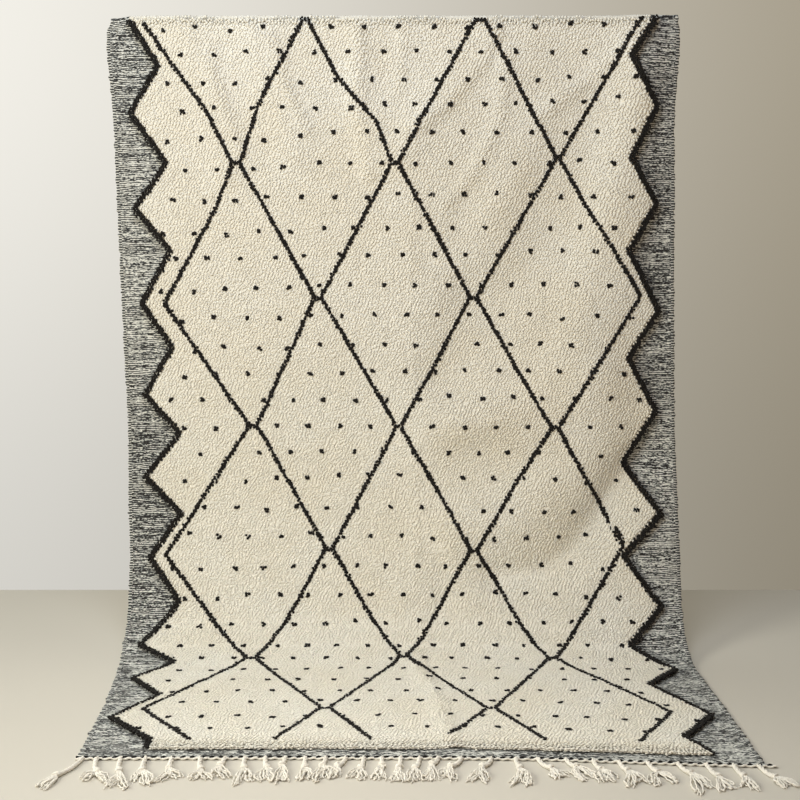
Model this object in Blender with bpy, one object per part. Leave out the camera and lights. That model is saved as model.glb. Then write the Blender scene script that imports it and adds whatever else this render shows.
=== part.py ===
"""A hand-knotted wool rug, hung by its top edge with its lower end drawn out over the floor.

The cloth is one piece: a knotted pile field between two flat-woven side borders, whose
edge runs in a zigzag, and a narrow flat-woven band across each end. The top band is turned
back behind the rug, over whatever holds it up. The warps leave the lower end through a
twined edge and are knotted into bunches that lie on the floor.

Metres, +Z up. The rug faces -Y, and its lower end runs out towards -Y. The origin is under
the middle of the rug's box, on the floor.
"""
import math
from bisect import bisect_right
from collections import namedtuple

import bmesh
import bpy
from mathutils import Vector

MM = 0.001

# ---- driving sizes ----
RUG_LENGTH = 2.40          # from the fold at the top to the lower edge, along the cloth
BAND_DEPTH = 0.040         # flat-woven band across each end
TURNED_BACK = 0.045        # cloth turned back behind the rug at the top
FOLD_RADIUS = 1.5 * MM     # inside the fold, so the two layers lie 3 mm apart
WEAVE_THICK = 5 * MM       # flat-woven borders and bands
PILE_THICK = 14 * MM       # weave and cut pile together
PILE_SLOPE = 10 * MM       # width over which the pile rises from the border
LINE_REACH = 9 * MM        # pile beyond the middle of the zigzag line
PIECE_GAP = 0.3 * MM

FIELD_COLUMNS = 24
BORDER_COLUMNS = 2
ROW_PITCH = 0.032
LEAST_ROW = 0.012

# How far the cloth leans out from upright, in degrees, down its length.
Lean = namedtuple("Lean", "down degrees")
FOLD_ARC = math.pi * FOLD_RADIUS
LEANS = [
    Lean(-FOLD_ARC - TURNED_BACK, 180),
    Lean(-FOLD_ARC, 180),
    Lean(0.00, 0),
    Lean(1.00, 0),
    Lean(1.20, 6),
    Lean(1.45, 14),
    Lean(1.60, 30),
    Lean(1.72, 48),
    Lean(1.80, 66),
    Lean(1.88, 90),
    Lean(2.50, 90),
]
FLOOR_FROM = 1.88          # the cloth lies flat on the floor from here down

# Half widths of the cloth on each side of its middle line.
Outline = namedtuple("Outline", "down left right")
OUTLINE = [
    Outline(-0.05, 0.783, 0.755),
    Outline(0.00, 0.785, 0.756),
    Outline(0.03, 0.797, 0.760),
    Outline(0.10, 0.799, 0.760),
    Outline(0.25, 0.788, 0.753),
    Outline(0.50, 0.785, 0.761),
    Outline(0.80, 0.781, 0.770),
    Outline(1.10, 0.774, 0.781),
    Outline(1.35, 0.773, 0.791),
    Outline(1.50, 0.766, 0.793),
    Outline(1.75, 0.765, 0.789),
    Outline(1.90, 0.761, 0.802),
    Outline(2.10, 0.743, 0.811),
    Outline(2.30, 0.732, 0.813),
    Outline(2.50, 0.722, 0.811),
]

# The zigzag edge of the pile: distance down, and out from the middle line.
Corner = namedtuple("Corner", "down out")
LEFT_ZIGZAG = [
    Corner(-0.05, 0.735),
    Corner(0.005, 0.735),
    Corner(0.125, 0.660),
    Corner(0.250, 0.740),
    Corner(0.385, 0.645),
    Corner(0.510, 0.735),
    Corner(0.625, 0.640),
    Corner(0.770, 0.723),
    Corner(0.895, 0.642),
    Corner(1.030, 0.722),
    Corner(1.140, 0.625),
    Corner(1.265, 0.725),
    Corner(1.370, 0.622),
    Corner(1.495, 0.708),
    Corner(1.620, 0.620),
    Corner(1.755, 0.712),
    Corner(1.830, 0.608),
    Corner(1.940, 0.695),
    Corner(2.055, 0.605),
    Corner(2.195, 0.693),
    Corner(2.320, 0.575),
    Corner(2.500, 0.575),
]
RIGHT_ZIGZAG = [
    Corner(-0.05, 0.691),
    Corner(0.000, 0.691),
    Corner(0.097, 0.629),
    Corner(0.232, 0.698),
    Corner(0.370, 0.633),
    Corner(0.497, 0.706),
    Corner(0.624, 0.632),
    Corner(0.791, 0.723),
    Corner(0.926, 0.640),
    Corner(1.077, 0.723),
    Corner(1.224, 0.631),
    Corner(1.369, 0.739),
    Corner(1.487, 0.632),
    Corner(1.635, 0.727),
    Corner(1.758, 0.630),
    Corner(1.877, 0.731),
    Corner(1.985, 0.640),
    Corner(2.160, 0.750),
    Corner(2.280, 0.655),
    Corner(2.360, 0.705),
    Corner(2.500, 0.705),
]

# How much further the lower edge reaches than RUG_LENGTH, across the rug.
Reach = namedtuple("Reach", "across extra")
LOWER_EDGE = [
    Reach(-0.80, 0.002),
    Reach(-0.30, 0.000),
    Reach(0.10, 0.000),
    Reach(0.32, 0.006),
    Reach(0.50, 0.020),
    Reach(0.66, 0.033),
    Reach(0.85, 0.043),
]
SKEW_FROM = 1.90

# Soft folds of the hanging cloth, as ridges (or troughs, with a height below 0) along paths
# of (across, down). The heaviest swings down from the top right corner to the middle.
Fold = namedtuple("Fold", "height half_width path")
FOLDS = [
    Fold(10 * MM, 0.050, [(0.670, 0.05), (0.600, 0.36), (0.535, 0.63), (0.475, 0.88), (0.360, 1.06),
                          (0.170, 1.12)]),
    Fold(-8 * MM, 0.080, [(0.450, 0.11), (0.405, 0.44), (0.325, 0.71), (0.250, 0.90), (0.120, 0.99)]),
    Fold(6 * MM, 0.045, [(-0.590, 0.03), (-0.520, 0.22), (-0.475, 0.42)]),
    Fold(7 * MM, 0.045, [(-0.405, 0.03), (-0.350, 0.19), (-0.285, 0.36)]),
    Fold(6 * MM, 0.045, [(-0.125, 0.03), (-0.105, 0.22), (-0.040, 0.39)]),
    Fold(7 * MM, 0.045, [(0.225, 0.03), (0.110, 0.19), (0.015, 0.36)]),
    Fold(11 * MM, 0.045, [(0.655, 1.31), (0.565, 1.39), (0.455, 1.51), (0.325, 1.63)]),
    Fold(-8 * MM, 0.070, [(0.560, 1.25), (0.400, 1.37), (0.240, 1.48)]),
    Fold(7 * MM, 0.050, [(0.700, 1.50), (0.680, 1.70)]),
]
FOLDS_FADE = (1.50, 1.84)   # the folds die away between these distances down
CORNER_DROOP = 9 * MM       # the top left corner hangs a little lower
CORNER_SPAN = 0.07

# ---- fringe ----
EDGE_WIDTH = 8 * MM
EDGE_HEIGHT = 6 * MM
EDGE_LEFT = 0.722
EDGE_RIGHT = 0.830
LEAST_STATION = 1.5 * MM
STEM_WIDTH = 10 * MM
STEM_HEIGHT = 8 * MM
KNOT_WIDTH = 15 * MM
KNOT_HEIGHT = 11 * MM
KNOT_LENGTH = 13 * MM
KNOT_END_HEIGHT = 6.5 * MM
TAILS = 4
TAIL_WIDTH = 3.4 * MM
TAIL_HEIGHT = 3.2 * MM
TAIL_TIP = 2.2 * MM
SIDE_HEIGHT = 0.55         # a stem's height at its sides, as a share of its middle's
TAIL_TOP = 0.6             # a tail's top width, as a share of its foot's
STEM_BOW = 0.10            # how far a stem bows outwards, as a share of its reach
TAIL_BOW = 0.10            # and a tail, as a share of its length

# One row for each bunch, in metres: its root across the edge, then the knot's place from
# the root, then the places of the first and last tail tip from the knot.
Bunch = namedtuple("Bunch", "root knot_side knot_out left_side left_out right_side right_out")
BUNCHES = [
    Bunch(-0.705, -0.038, 0.090, -0.028, 0.046, -0.010, 0.056),
    Bunch(-0.676, 0.020, 0.074, -0.030, 0.036, 0.026, 0.038),
    Bunch(-0.622, 0.012, 0.070, -0.012, 0.079, 0.030, 0.074),
    Bunch(-0.567, 0.006, 0.066, -0.014, 0.050, 0.026, 0.070),
    Bunch(-0.508, 0.004, 0.056, -0.022, 0.058, 0.028, 0.039),
    Bunch(-0.445, 0.012, 0.062, -0.018, 0.044, 0.026, 0.046),
    Bunch(-0.390, -0.005, 0.041, -0.006, 0.050, 0.020, 0.056),
    Bunch(-0.346, 0.006, 0.056, -0.008, 0.076, 0.020, 0.054),
    Bunch(-0.300, 0.010, 0.054, -0.008, 0.058, 0.016, 0.058),
    Bunch(-0.255, -0.005, 0.041, -0.006, 0.084, 0.016, 0.070),
    Bunch(-0.211, 0.003, 0.056, -0.010, 0.058, 0.014, 0.044),
    Bunch(-0.165, -0.006, 0.046, -0.012, 0.068, 0.008, 0.056),
    Bunch(-0.120, -0.020, 0.048, -0.014, 0.064, 0.008, 0.044),
    Bunch(-0.080, -0.006, 0.056, -0.026, 0.044, 0.000, 0.050),
    Bunch(-0.040, 0.001, 0.045, -0.018, 0.060, 0.004, 0.058),
    Bunch(0.002, -0.004, 0.054, -0.016, 0.060, 0.006, 0.062),
    Bunch(0.044, -0.012, 0.058, -0.014, 0.058, 0.006, 0.052),
    Bunch(0.086, -0.018, 0.036, -0.016, 0.074, 0.004, 0.076),
    Bunch(0.138, -0.030, 0.046, -0.022, 0.044, 0.002, 0.066),
    Bunch(0.205, -0.028, 0.046, -0.034, 0.066, 0.008, 0.072),
    Bunch(0.257, 0.006, 0.054, -0.026, 0.078, 0.010, 0.080),
    Bunch(0.306, 0.026, 0.050, 0.006, 0.050, 0.036, 0.034),
    Bunch(0.368, 0.021, 0.038, 0.008, 0.064, 0.038, 0.046),
    Bunch(0.428, 0.011, 0.050, -0.004, 0.056, 0.022, 0.046),
    Bunch(0.484, 0.012, 0.050, -0.010, 0.070, 0.028, 0.048),
    Bunch(0.547, 0.014, 0.052, -0.022, 0.060, 0.034, 0.046),
    Bunch(0.612, 0.020, 0.052, -0.006, 0.094, 0.026, 0.064),
    Bunch(0.674, 0.012, 0.062, -0.014, 0.072, 0.020, 0.050),
    Bunch(0.733, 0.008, 0.060, -0.016, 0.042, 0.012, 0.068),
    Bunch(0.787, 0.022, 0.062, 0.010, 0.044, 0.034, 0.034),
]

IVORY_WOOL = (0.80, 0.74, 0.61)
COTTON = (0.85, 0.81, 0.72)


def read_table(rows, key, value, at):
    """The straight-line value of one named column of a table."""
    keys = [getattr(row, key) for row in rows]
    after = min(max(bisect_right(keys, at), 1), len(rows) - 1)
    low, high = rows[after - 1], rows[after]
    share = (at - getattr(low, key)) / (getattr(high, key) - getattr(low, key))
    share = min(max(share, 0.0), 1.0)
    return getattr(low, value) * (1 - share) + getattr(high, value) * share


def ease(share):
    share = min(max(share, 0.0), 1.0)
    return share * share * (3 - 2 * share)


class Drape:
    """The line that the back of the cloth follows, walked in short steps along the rug."""

    STEP = 0.25 * MM

    def __init__(self):
        first, last = LEANS[0].down, LEANS[-1].down
        count = int(round((last - first) / self.STEP))
        self.first = first
        self.step = (last - first) / count
        out, rise = 0.0, 0.0
        self.points = [(out, rise)]
        for number in range(count):
            lean = math.radians(read_table(LEANS, "down", "degrees", first + (number + 0.5) * self.step))
            out += math.sin(lean) * self.step
            rise -= math.cos(lean) * self.step
            self.points.append((out, rise))
        hang_out, _ = self.at(0.0)
        _, floor_rise = self.at(FLOOR_FROM)
        self.points = [(o - hang_out, r - floor_rise) for o, r in self.points]

    def at(self, down):
        """How far out the cloth's back lies, and how high."""
        place = (down - self.first) / self.step
        number = min(max(int(place), 0), len(self.points) - 2)
        share = place - number
        (out_a, rise_a), (out_b, rise_b) = self.points[number], self.points[number + 1]
        return out_a + (out_b - out_a) * share, rise_a + (rise_b - rise_a) * share


def distance_to_path(across, down, path):
    place = Vector((across, down))
    nearest = math.inf
    for start, end in zip(path, path[1:]):
        start, run = Vector(start), Vector(end) - Vector(start)
        share = min(max((place - start).dot(run) / run.length_squared, 0.0), 1.0)
        nearest = min(nearest, (place - start - run * share).length)
    return nearest


def soft_fold(across, down):
    """How far the cloth stands out from its even drape, the same in both layers of the fold."""
    along = max(-FOLD_ARC - down, down, 0.0)
    out = 0.0
    for fold in FOLDS:
        off = distance_to_path(across, along, fold.path) / fold.half_width
        out += fold.height * math.exp(-off * off)
    fade_from, fade_to = FOLDS_FADE
    return out * (1 - ease((along - fade_from) / (fade_to - fade_from)))


def droop(across, down):
    """How far the top left corner hangs below the fold."""
    from_side = 1 - (across + read_table(OUTLINE, "down", "left", down)) / CORNER_SPAN
    return CORNER_DROOP * ease(from_side) * (1 - ease(abs(down) / CORNER_SPAN))


def cloth_point(drape, across, down, lift):
    """A point at a height of `lift` above the back of the cloth."""
    extra = read_table(LOWER_EDGE, "across", "extra", across)
    down_here = down + extra * ease((down - SKEW_FROM) / (RUG_LENGTH - SKEW_FROM))
    out, rise = drape.at(down_here)
    lean = math.radians(read_table(LEANS, "down", "degrees", down_here))
    out += soft_fold(across, down) + lift * math.cos(lean)
    rise += lift * math.sin(lean) - droop(across, down)
    return Vector((across, -out, rise))


def row_places():
    """Distances down the rug of the mesh's rows, one at each corner of the zigzags."""
    band_from = RUG_LENGTH - BAND_DEPTH
    marks = sorted(corner.down for corner in LEFT_ZIGZAG + RIGHT_ZIGZAG)
    marks = [0.0] + [mark for mark in marks if 0.0 < mark < band_from - ROW_PITCH]
    marks.append(band_from - PILE_SLOPE)
    kept = []
    for mark in marks:
        if not kept or mark - kept[-1] > LEAST_ROW:
            kept.append(mark)
    rows = [-FOLD_ARC - TURNED_BACK, -FOLD_ARC - TURNED_BACK / 2]
    rows += [-FOLD_ARC * share for share in (1, 0.8, 0.6, 0.4, 0.2)]
    for low, high in zip(kept, kept[1:]):
        parts = max(1, round((high - low) / ROW_PITCH))
        rows += [low + (high - low) * part / parts for part in range(parts)]
    rows += [band_from - PILE_SLOPE, band_from, RUG_LENGTH - BAND_DEPTH / 2, RUG_LENGTH]
    return rows


def column_places(down):
    """Places across the rug, and the thickness there, from its left edge to its right."""
    left = -read_table(OUTLINE, "down", "left", down)
    right = read_table(OUTLINE, "down", "right", down)
    left_pile = -read_table(LEFT_ZIGZAG, "down", "out", down) - LINE_REACH
    right_pile = read_table(RIGHT_ZIGZAG, "down", "out", down) + LINE_REACH
    piled = -FOLD_ARC * 0.5 < down < RUG_LENGTH - BAND_DEPTH - PILE_SLOPE / 2
    pile = PILE_THICK if piled else WEAVE_THICK
    places = []
    for number in range(BORDER_COLUMNS + 1):
        share = number / BORDER_COLUMNS
        places.append((left + (left_pile - left) * share, WEAVE_THICK))
    field_left, field_right = left_pile + PILE_SLOPE, right_pile - PILE_SLOPE
    for number in range(FIELD_COLUMNS + 1):
        share = number / FIELD_COLUMNS
        places.append((field_left + (field_right - field_left) * share, pile))
    for number in range(BORDER_COLUMNS + 1):
        share = number / BORDER_COLUMNS
        places.append((right_pile + (right - right_pile) * share, WEAVE_THICK))
    return places


def new_object(name, bm, colour, roughness):
    bmesh.ops.recalc_face_normals(bm, faces=bm.faces)
    bmesh.ops.triangulate(bm, faces=bm.faces)
    mesh = bpy.data.meshes.new(name)
    bm.to_mesh(mesh)
    bm.free()
    mesh.shade_smooth()
    mesh.set_sharp_from_angle(angle=math.radians(40))
    material = bpy.data.materials.new(name)
    material.use_nodes = True
    shader = material.node_tree.nodes["Principled BSDF"]
    shader.inputs["Base Color"].default_value = (*colour, 1)
    shader.inputs["Roughness"].default_value = roughness
    shader.inputs["Metallic"].default_value = 0.0
    mesh.materials.append(material)
    piece = bpy.data.objects.new(name, mesh)
    bpy.context.collection.objects.link(piece)
    return piece


def make_rug(drape):
    """The one-piece cloth: a front skin, a back skin and the rim between them."""
    bm = bmesh.new()
    fronts, backs = [], []
    for down in row_places():
        places = column_places(down)
        fronts.append([bm.verts.new(cloth_point(drape, across, down, thick)) for across, thick in places])
        backs.append([bm.verts.new(cloth_point(drape, across, down, 0.0)) for across, _ in places])
    for skin in (fronts, backs):
        for upper, lower in zip(skin, skin[1:]):
            for side in range(len(upper) - 1):
                bm.faces.new((upper[side], upper[side + 1], lower[side + 1], lower[side]))
    for front, back in ((fronts[0], backs[0]), (fronts[-1], backs[-1])):
        for side in range(len(front) - 1):
            bm.faces.new((front[side], front[side + 1], back[side + 1], back[side]))
    for end in (0, -1):
        for row in range(len(fronts) - 1):
            bm.faces.new((fronts[row][end], fronts[row + 1][end], backs[row + 1][end], backs[row][end]))
    return new_object("rug", bm, IVORY_WOOL, 0.95)


def ring_skin(bm, first, last):
    """The walls between two rings of equal count."""
    count = len(first)
    for number in range(count):
        after = (number + 1) % count
        bm.faces.new((first[number], first[after], last[after], last[number]))


def band_ring(bm, middle, heading, width, height):
    """A flat-bottomed, round-topped ring of points, as (bottom row, top row)."""
    side = Vector((-heading.y, heading.x, 0.0))
    bottom, top = [], []
    for number in range(TAILS + 1):
        share = number / TAILS
        place = middle + side * (width * (share - 0.5))
        crown = height * (SIDE_HEIGHT + (1 - SIDE_HEIGHT) * math.sin(math.pi * share))
        bottom.append(bm.verts.new((place.x, place.y, 0.0)))
        top.append(bm.verts.new((place.x, place.y, crown)))
    return bottom, top


def tail_ring(bm, middle, heading, width, height):
    """A four-sided ring of a loose tail, lying on the floor."""
    side = Vector((-heading.y, heading.x, 0.0)) * (width / 2)
    rise = Vector((0.0, 0.0, height))
    corners = (middle - side, middle + side, middle + side * TAIL_TOP + rise, middle - side * TAIL_TOP + rise)
    return [bm.verts.new(corner) for corner in corners]


def make_bunch(bm, bunch, bottom, top, root):
    """Stem, knot and loose tails of one bunch, grown from a row of faces of the edge."""
    knot = root + Vector((bunch.knot_side, -bunch.knot_out, 0.0))
    run = (knot - root).normalized()
    start = Vector((0.0, -1.0, 0.0))
    stem_end = knot - run * KNOT_LENGTH
    middle = (root + stem_end) / 2 + start * (bunch.knot_out * STEM_BOW)
    tip_middle = Vector((bunch.left_side + bunch.right_side, -bunch.left_out - bunch.right_out, 0.0))
    leave = (run + tip_middle.normalized()).normalized()
    rings = [
        (middle, (start + run).normalized(), STEM_WIDTH, STEM_HEIGHT),
        (stem_end, run, STEM_WIDTH, STEM_HEIGHT),
        (knot - run * KNOT_LENGTH / 2, run, KNOT_WIDTH, KNOT_HEIGHT),
        (knot, leave, KNOT_WIDTH, KNOT_END_HEIGHT),
    ]
    for place, heading, width, height in rings:
        new_bottom, new_top = band_ring(bm, place, heading, width, height)
        ring_skin(bm, bottom + top[::-1], new_bottom + new_top[::-1])
        bottom, top = new_bottom, new_top
    left = Vector((bunch.left_side, -bunch.left_out, 0.0))
    right = Vector((bunch.right_side, -bunch.right_out, 0.0))
    for number in range(TAILS):
        tip = knot + left.lerp(right, number / (TAILS - 1))
        ring = [bottom[number], bottom[number + 1], top[number + 1], top[number]]
        source = (ring[0].co + ring[1].co) / 2
        run = tip - source
        bow = source + run / 2 + (leave - run.normalized()) * (TAIL_BOW * run.length)
        sections = ((bow, run, TAIL_WIDTH, TAIL_HEIGHT), (tip, tip - bow, TAIL_TIP, TAIL_TIP))
        for place, heading, width, height in sections:
            new_ring = tail_ring(bm, place, heading.normalized(), width, height)
            ring_skin(bm, ring, new_ring)
            ring = new_ring
        bm.faces.new(ring)


def edge_stations(corners):
    """Places along the twined edge: its ends, each bunch's root, and the cloth's corners between."""
    stations = [(-EDGE_LEFT, None), (EDGE_RIGHT, None)]
    for bunch in BUNCHES:
        for number in range(TAILS + 1):
            across = bunch.root + STEM_WIDTH * (number / TAILS - 0.5)
            stations.append((across, bunch if number < TAILS else None))
    for corner in corners:
        if all(abs(corner.x - across) > LEAST_STATION for across, _ in stations):
            in_root = any(abs(corner.x - bunch.root) < STEM_WIDTH / 2 for bunch in BUNCHES)
            if -EDGE_LEFT < corner.x < EDGE_RIGHT and not in_root:
                stations.append((corner.x, None))
    return sorted(stations, key=lambda station: station[0])


def make_fringe(drape):
    """The twined edge, parted from the cloth, with the knotted bunches fused into it."""
    bm = bmesh.new()
    cloth_edge = [cloth_point(drape, across, RUG_LENGTH, 0.0) for across, _ in column_places(RUG_LENGTH)]
    stations = edge_stations(cloth_edge)
    rings = []
    for across, _ in stations:
        back_y = read_table(cloth_edge, "x", "y", across) - PIECE_GAP
        front_y = back_y - EDGE_WIDTH
        corners = ((back_y, 0.0), (back_y, EDGE_HEIGHT), (front_y, EDGE_HEIGHT), (front_y, 0.0))
        rings.append([bm.verts.new((across, y, z)) for y, z in corners])
    roots = {}
    for number in range(len(rings) - 1):
        here, after = rings[number], rings[number + 1]
        bunch = stations[number][1]
        for side in range(4):
            follow = (side + 1) % 4
            if side == 2 and bunch is not None:
                roots.setdefault(bunch, []).append(number)
                continue
            bm.faces.new((here[side], here[follow], after[follow], after[side]))
    bm.faces.new(rings[0])
    bm.faces.new(rings[-1])
    for bunch, numbers in roots.items():
        span = rings[numbers[0]:numbers[-1] + 2]
        bottom = [ring[3] for ring in span]
        top = [ring[2] for ring in span]
        root = (bottom[0].co + bottom[-1].co) / 2
        make_bunch(bm, bunch, bottom, top, root)
    return new_object("fringe", bm, COTTON, 0.9)


def set_origin(pieces):
    """Puts the origin on the floor under the middle of the box."""
    points = [vertex.co for piece in pieces for vertex in piece.data.vertices]
    low = Vector(min(point[axis] for point in points) for axis in range(3))
    high = Vector(max(point[axis] for point in points) for axis in range(3))
    shift = Vector((-(low.x + high.x) / 2, -(low.y + high.y) / 2, -low.z))
    for piece in pieces:
        for vertex in piece.data.vertices:
            vertex.co = vertex.co + shift


def main():
    for thing in list(bpy.data.objects):
        bpy.data.objects.remove(thing, do_unlink=True)
    drape = Drape()
    set_origin([make_rug(drape), make_fringe(drape)])


main()
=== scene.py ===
"""The looks of a hand-knotted wool rug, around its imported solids.

The rug hangs by its top edge and its lower end runs out over the floor. The ground is one flat
weave: heathered black and ivory wefts show in the side borders and the end bands, and the pile
covers the rest. Each knot of the pile has two yarn ends. A knot is ivory or black by its place
in the pattern, and shows again as a small node on the back.

Metres, +Z up. The rug faces -Y. Places on the cloth are given as across and down: across from
the rug's middle line, and down along the cloth from the fold at its top. A lift is a height
above the cloth's back.
"""
import math
from collections import namedtuple

import bmesh
import bpy
import numpy as np
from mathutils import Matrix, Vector


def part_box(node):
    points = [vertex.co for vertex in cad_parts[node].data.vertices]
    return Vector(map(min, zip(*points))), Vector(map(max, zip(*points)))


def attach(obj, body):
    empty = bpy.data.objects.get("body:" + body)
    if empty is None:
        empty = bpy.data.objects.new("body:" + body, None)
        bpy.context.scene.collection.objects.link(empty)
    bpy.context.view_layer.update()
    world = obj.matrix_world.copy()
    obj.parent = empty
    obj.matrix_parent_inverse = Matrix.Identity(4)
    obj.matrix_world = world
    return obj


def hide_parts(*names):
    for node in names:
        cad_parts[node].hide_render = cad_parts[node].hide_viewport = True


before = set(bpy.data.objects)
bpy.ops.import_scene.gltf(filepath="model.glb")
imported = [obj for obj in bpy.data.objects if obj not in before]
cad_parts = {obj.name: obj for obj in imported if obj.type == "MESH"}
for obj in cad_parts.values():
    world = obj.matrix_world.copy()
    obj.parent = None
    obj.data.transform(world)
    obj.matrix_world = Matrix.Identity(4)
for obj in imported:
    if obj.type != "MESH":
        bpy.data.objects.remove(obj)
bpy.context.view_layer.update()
bpy.ops.object.select_all(action="DESELECT")

MM = 0.001
BODY = "root"


def table(row, values):
    """Rows with named columns."""
    return [row(*value) for value in values]


# ---- the cloth, as its solid is cut and hung ----
RUG_LENGTH = 2.40
BAND_DEPTH = 0.040
TURNED_BACK = 0.045
FOLD_RADIUS = 1.5 * MM
FOLD_ARC = math.pi * FOLD_RADIUS
WEAVE_THICK = 5 * MM
FLOOR_FROM = 1.88
SKEW_FROM = 1.90
CORNER_DROOP = 9 * MM
CORNER_SPAN = 0.07
EDGE_RIGHT = 0.830         # the twined edge ends here, and at EDGE_LEFT
EDGE_LEFT = 0.722
WALK_STEP = 0.25 * MM

Lean = namedtuple("Lean", "down degrees")
LEANS = table(Lean, (
    (-FOLD_ARC - TURNED_BACK, 180), (-FOLD_ARC, 180), (0.00, 0), (1.00, 0),
    (1.20, 6), (1.45, 14), (1.60, 30), (1.72, 48),
    (1.80, 66), (1.88, 90), (2.50, 90),
))

Outline = namedtuple("Outline", "down left right")
OUTLINE = table(Outline, (
    (-0.05, 0.783, 0.755), (0.00, 0.785, 0.756), (0.03, 0.797, 0.760), (0.10, 0.799, 0.760),
    (0.25, 0.788, 0.753), (0.50, 0.785, 0.761), (0.80, 0.781, 0.770), (1.10, 0.774, 0.781),
    (1.35, 0.773, 0.791), (1.50, 0.766, 0.793), (1.75, 0.762, 0.787), (1.90, 0.750, 0.792),
    (2.10, 0.731, 0.799), (2.30, 0.724, 0.804), (2.50, 0.716, 0.802),
))

# The zigzag edges of the pile: distance down, and out from the middle line.
Corner = namedtuple("Corner", "down out")
LEFT_ZIGZAG = table(Corner, (
    (-0.05, 0.735), (0.005, 0.735), (0.125, 0.660), (0.250, 0.740), (0.385, 0.645), (0.510, 0.735),
    (0.625, 0.640), (0.770, 0.723), (0.895, 0.642), (1.030, 0.722), (1.140, 0.625), (1.265, 0.725),
    (1.370, 0.622), (1.495, 0.708), (1.620, 0.620), (1.755, 0.712), (1.830, 0.608), (1.940, 0.695),
    (2.055, 0.605), (2.195, 0.693), (2.320, 0.575), (2.500, 0.575),
))
RIGHT_ZIGZAG = table(Corner, (
    (-0.05, 0.691), (0.000, 0.691), (0.097, 0.629), (0.232, 0.698), (0.370, 0.633), (0.497, 0.706),
    (0.624, 0.632), (0.791, 0.723), (0.926, 0.640), (1.077, 0.723), (1.224, 0.631), (1.369, 0.739),
    (1.487, 0.632), (1.635, 0.727), (1.758, 0.630), (1.877, 0.731), (1.985, 0.640), (2.160, 0.750),
    (2.280, 0.655), (2.360, 0.705), (2.500, 0.705),
))

Reach = namedtuple("Reach", "across extra")
LOWER_EDGE = table(Reach, (
    (-0.80, 0.002), (-0.30, 0.000), (0.10, 0.000), (0.32, 0.006),
    (0.50, 0.020), (0.66, 0.033), (0.85, 0.043),
))

# Soft folds of the hanging cloth, as ridges (or troughs, with a height below 0) along paths of
# (across, down). They die away before the floor. The solid has the first six of them too, and in
# place of the last four it has three flatter ones that lie beside them.
Fold = namedtuple("Fold", "height half_width path")
FOLDS = [
    Fold(10 * MM, 0.050, [(0.670, 0.05), (0.600, 0.36), (0.535, 0.63), (0.475, 0.88), (0.360, 1.06),
                          (0.170, 1.12)]),
    Fold(-8 * MM, 0.080, [(0.450, 0.11), (0.405, 0.44), (0.325, 0.71), (0.250, 0.90), (0.120, 0.99)]),
    Fold(6 * MM, 0.045, [(-0.590, 0.03), (-0.520, 0.22), (-0.475, 0.42)]),
    Fold(7 * MM, 0.045, [(-0.405, 0.03), (-0.350, 0.19), (-0.285, 0.36)]),
    Fold(6 * MM, 0.045, [(-0.125, 0.03), (-0.105, 0.22), (-0.040, 0.39)]),
    Fold(7 * MM, 0.045, [(0.225, 0.03), (0.110, 0.19), (0.015, 0.36)]),
    Fold(5 * MM, 0.042, [(0.715, 1.37), (0.660, 1.46), (0.590, 1.54), (0.510, 1.61), (0.420, 1.67)]),
    Fold(-21 * MM, 0.055, [(0.690, 1.20), (0.615, 1.30), (0.555, 1.405), (0.483, 1.49), (0.400, 1.555),
                           (0.284, 1.57)]),
    Fold(22 * MM, 0.090, [(0.580, 1.02), (0.555, 1.15), (0.490, 1.26), (0.400, 1.34), (0.300, 1.40),
                          (0.170, 1.42)]),
    Fold(16 * MM, 0.090, [(0.707, 1.50), (0.665, 1.70)]),
]
FOLDS_FADE = (1.50, 1.84)
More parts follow.
